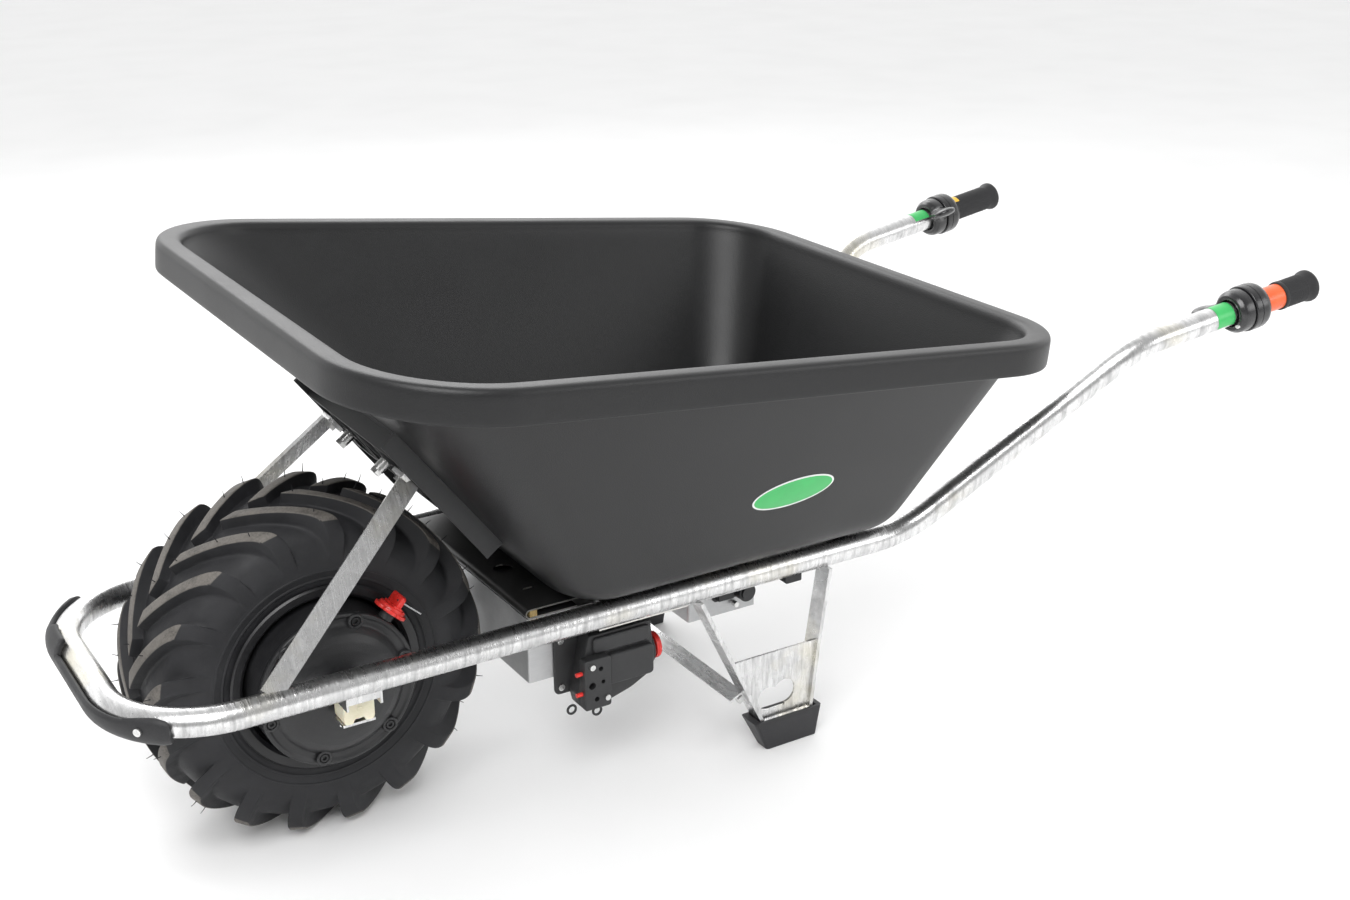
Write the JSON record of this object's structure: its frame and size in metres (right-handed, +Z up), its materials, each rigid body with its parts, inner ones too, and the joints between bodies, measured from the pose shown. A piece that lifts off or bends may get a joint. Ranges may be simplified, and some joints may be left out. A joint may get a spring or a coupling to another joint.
{
  "type": "power wheelbarrow",
  "caption": "Single-wheel powered wheelbarrow with a lugged hub-motor wheel, bent tube frame, deep moulded tray, under-tray battery and controller, rubber-footed legs and thumb levers.",
  "frame": {"origin": "centre of the whole object's footprint box, on the ground", "axes": "+X back from the wheel to the handles, +Y to the operator's right, +Z up"},
  "size_m": [1.5932, 0.7992, 0.643],
  "materials": {
    "galvanised": "hot-dip galvanised, streaky, semi-gloss",
    "zinc_fasteners": "zinc plated, bright",
    "tray_plastic": "moulded, fine leathery grain, satin",
    "tyre_rubber": "matt black, dusty grey on the bar tops",
    "guard_rubber": "matt black rubber",
    "foot_rubber": "smooth satin black rubber",
    "grip_rubber": "soft cross-hatched rubber",
    "wheel_paint": "black powder coat",
    "cover_plastic": "satin black cover",
    "black_plastic": "satin black moulding",
    "control_plastic": "smooth semi-gloss black",
    "red_plastic": "bright red, semi-gloss",
    "orange_plastic": "orange, satin",
    "nylon": "cream nylon, waxy",
    "case_aluminium": "matt grey aluminium sheet",
    "plate_steel": "black painted sheet with bright cut edges",
    "packing": "yellow packing strip",
    "axle_steel": "machined steel",
    "motor_iron": "laminated electrical steel",
    "copper": "enamelled copper wire",
    "board": "circuit board with aluminium heat sink",
    "battery_wrap": "wrapped cell pack"
  },
  "bodies": {
    "chassis": {"axle": "axle_steel", "axle_block_left": "nylon", "axle_block_right": "nylon", "axle_bolts": "zinc_fasteners", "axle_bracket_left": "galvanised", "axle_bracket_right": "galvanised", "axle_straps": "galvanised", "battery_case": "case_aluminium", "battery_pack": "battery_wrap", "bumper_guard": "guard_rubber", "bumper_rivets": "zinc_fasteners", "cable_clip": "guard_rubber", "charge_socket": "black_plastic", "contact_pins": "red_plastic", "controller_board": "board", "controller_case": "case_aluminium", "cross_tie": "galvanised", "crossmembers": "galvanised", "edge_strip": "packing", "floor_bolts": "zinc_fasteners", "floor_plate": "plate_steel", "foot_left": "foot_rubber", "foot_right": "foot_rubber", "front_strut_left": "galvanised", "front_strut_right": "galvanised", "grip_band": "orange_plastic", "grip_left": "grip_rubber", "grip_right": "grip_rubber", "leg_left": "galvanised", "leg_right": "galvanised", "lever_housing_left": "control_plastic", "lever_housing_right": "control_plastic", "main_tube": "galvanised", "panel_bolts": "zinc_fasteners", "socket_block": "black_plastic", "stator": "motor_iron", "support_panel": "black_plastic", "switch_base": "black_plastic", "switch_bracket": "plate_steel", "switch_housing": "black_plastic", "switch_screws": "zinc_fasteners", "tie_bolts": "zinc_fasteners", "tray": "tray_plastic", "windings": "copper", "wire_loops": "black_plastic"},
    "wheel": {"tyre": "tyre_rubber", "rim": "wheel_paint", "tyre_valve": "guard_rubber", "motor_drum": "wheel_paint", "rotor_magnets": "motor_iron", "hub_cover_left": "cover_plastic", "hub_cover_right": "cover_plastic", "cover_screws": "wheel_paint", "bearings": "axle_steel", "knob_stem": "black_plastic"},
    "freewheel_knob": {"freewheel_knob": "red_plastic", "knob_rod": "axle_steel"},
    "thumb_lever_left": {"thumb_lever_left": "control_plastic"},
    "thumb_lever_right": {"thumb_lever_right": "control_plastic"},
    "stop_button": {"stop_button": "red_plastic"}
  },
  "joints": [
    {"name": "wheel_spin", "type": "hinge", "parent": "chassis", "child": "wheel", "pos_m": [-0.5276, 0, 0.203], "axis": [0, -1, 0], "continuous": true},
    {"name": "freewheel_turn", "type": "hinge", "parent": "wheel", "child": "freewheel_knob", "pos_m": [-0.454, -0.106, 0.28475], "axis": [-0.6691, 0, -0.7431], "range_deg": [0, 90]},
    {"name": "thumb_lever_left_press", "type": "hinge", "parent": "chassis", "child": "thumb_lever_left", "pos_m": [0.66052, -0.30799, 0.50513], "axis": [-0.989, 0.0587, -0.1361], "range_deg": [0, 30], "stiffness_Nm_per_rad": 0.4, "springref_deg": -28.65},
    {"name": "thumb_lever_right_press", "type": "hinge", "parent": "chassis", "child": "thumb_lever_right", "pos_m": [0.66052, 0.30799, 0.50513], "axis": [0.989, 0.0587, 0.1361], "range_deg": [0, 30], "stiffness_Nm_per_rad": 0.4, "springref_deg": -28.65},
    {"name": "stop_button_press", "type": "slide", "parent": "chassis", "child": "stop_button", "axis": [-1, 0, 0], "range_m": [0, 0.0035], "stiffness_N_per_m": 900, "springref_m": -0.003}
  ]
}
